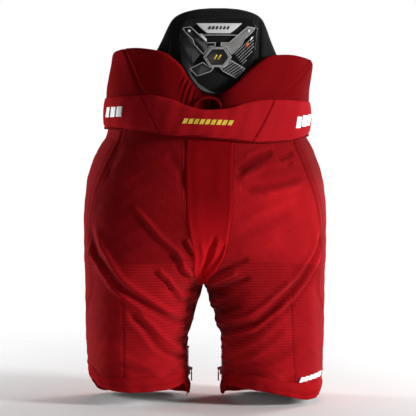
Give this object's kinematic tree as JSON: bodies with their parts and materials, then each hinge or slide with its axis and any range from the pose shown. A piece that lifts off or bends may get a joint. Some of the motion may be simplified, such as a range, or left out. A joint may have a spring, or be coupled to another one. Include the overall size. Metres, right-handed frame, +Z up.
{
  "type": "hockey pants",
  "caption": "Padded ice-hockey pants with hinged thighs, raised kidney wings, a tilting spine guard, hang loop, belt buckle, fly flap and inner-leg zips.",
  "frame": {"origin": "on the floor midway between the legs, centred on the pants' width and depth, where the hems stand", "axes": "+Z up from hem to spine guard, +X to the wearer's right, +Y to the wearer's front (the fly)"},
  "size_m": [0.434, 0.2897, 0.701],
  "materials": {
    "shell": "padded woven fabric",
    "leg_shell": "ribbed knit fabric",
    "stretch_shell": "stretch knit fabric",
    "spine_cover": "padded woven fabric",
    "spine_plate": "gloss",
    "spine_trim": "satin",
    "spine_badge": "satin",
    "spine_emblem": "gloss",
    "webbing": "woven webbing",
    "foam": "foam in a sewn cover",
    "guard_plastic": "satin",
    "lining": "brushed knit",
    "zip_tape": "woven tape",
    "zip_plastic": "satin",
    "zip_metal": "satin",
    "buckle_plastic": "satin",
    "buckle_pin": "brushed"
  },
  "bodies": {
    "hips": {"belt_back": "shell", "waistband": "lining", "kidney_foam": "foam", "kidney_plate": "guard_plastic", "rear_gusset": "shell", "fly_placket": "shell", "hip_guard_shell": "guard_plastic", "hip_guard_foam": "foam", "seat_pads": "foam", "seat_lining": "lining", "tailbone_guard_shell": "guard_plastic", "tailbone_guard_foam": "foam", "spine_elastic": "webbing", "strap_keeper": "webbing", "buckle_frame": "buckle_plastic", "buckle_pin": "buckle_pin", "left_belt_side": "shell", "left_kidney_cover": "shell", "left_seat_panel": "shell", "left_side_panel": "shell", "left_front_panel": "shell", "left_hip_fold": "stretch_shell", "left_strap": "webbing", "right_belt_side": "shell", "right_kidney_cover": "shell", "right_seat_panel": "shell", "right_side_panel": "shell", "right_front_panel": "shell", "right_hip_fold": "stretch_shell", "right_strap": "webbing"},
    "left_leg": {"left_leg_back_panel": "leg_shell", "left_leg_side_panel": "leg_shell", "left_leg_front_panel": "leg_shell", "left_hem_binding": "leg_shell", "left_leg_lining": "lining", "left_thigh_guard_shell": "guard_plastic", "left_thigh_foam": "foam", "left_zip_tape": "zip_tape", "left_zip_teeth": "zip_plastic"},
    "right_leg": {"right_leg_back_panel": "leg_shell", "right_leg_side_panel": "leg_shell", "right_leg_front_panel": "leg_shell", "right_hem_binding": "leg_shell", "right_leg_lining": "lining", "right_thigh_guard_shell": "guard_plastic", "right_thigh_foam": "foam", "right_zip_tape": "zip_tape", "right_zip_teeth": "zip_plastic"},
    "spine_guard": {"spine_pad": "spine_cover", "spine_plate": "spine_plate", "spine_arms": "spine_trim", "spine_badge": "spine_badge", "spine_emblem": "spine_emblem"},
    "hang_loop": {"hang_loop": "webbing"},
    "left_zip_slider": {"left_zip_slider": "zip_metal"},
    "right_zip_slider": {"right_zip_slider": "zip_metal"},
    "left_zip_pull": {"left_zip_pull": "zip_metal"},
    "right_zip_pull": {"right_zip_pull": "zip_metal"},
    "buckle_lever": {"buckle_lever": "buckle_plastic"},
    "fly_flap": {"fly_flap": "shell"}
  },
  "joints": [
    {"name": "left_leg_swing", "type": "hinge", "parent": "hips", "child": "left_leg", "pos_m": [-0.11, 0.015, 0.285], "axis": [1, 0, 0], "range_deg": [-10, 60], "stiffness_Nm_per_rad": 8, "deforming": ["left_hip_fold"]},
    {"name": "right_leg_swing", "type": "hinge", "parent": "hips", "child": "right_leg", "pos_m": [0.11, 0.015, 0.285], "axis": [1, 0, 0], "range_deg": [-10, 60], "stiffness_Nm_per_rad": 8, "deforming": ["right_hip_fold"]},
    {"name": "spine_tilt", "type": "hinge", "parent": "hips", "child": "spine_guard", "pos_m": [0, -0.093, 0.52], "axis": [1, 0, 0], "range_deg": [-18, 3], "stiffness_Nm_per_rad": 2.5, "deforming": ["spine_elastic"]},
    {"name": "hang_loop_fold", "type": "hinge", "parent": "hips", "child": "hang_loop", "pos_m": [0, -0.1266, 0.5285], "axis": [1, 0, 0], "range_deg": [0, 55], "stiffness_Nm_per_rad": 0.004},
    {"name": "left_zip_slide", "type": "slide", "parent": "left_leg", "child": "left_zip_slider", "axis": [0, 0, 1], "range_m": [-0.024, 0.032]},
    {"name": "left_zip_pull_swing", "type": "hinge", "parent": "left_zip_slider", "child": "left_zip_pull", "pos_m": [-0.0243, 0.005, 0.0545], "axis": [0, -1, 0], "range_deg": [-3, 90]},
    {"name": "right_zip_slide", "type": "slide", "parent": "right_leg", "child": "right_zip_slider", "axis": [0, 0, 1], "range_m": [-0.024, 0.032]},
    {"name": "right_zip_pull_swing", "type": "hinge", "parent": "right_zip_slider", "child": "right_zip_pull", "pos_m": [0.0243, 0.005, 0.0545], "axis": [0, 1, 0], "range_deg": [-3, 90]},
    {"name": "buckle_lever_swing", "type": "hinge", "parent": "hips", "child": "buckle_lever", "pos_m": [-0.004, 0.133, 0.505], "axis": [0, 0, 1], "range_deg": [0, 75]},
    {"name": "fly_flap_swing", "type": "hinge", "parent": "hips", "child": "fly_flap", "pos_m": [-0.0234, 0.1385, 0.388], "axis": [0, -0.097, 0.9953], "range_deg": [0, 100]}
  ]
}
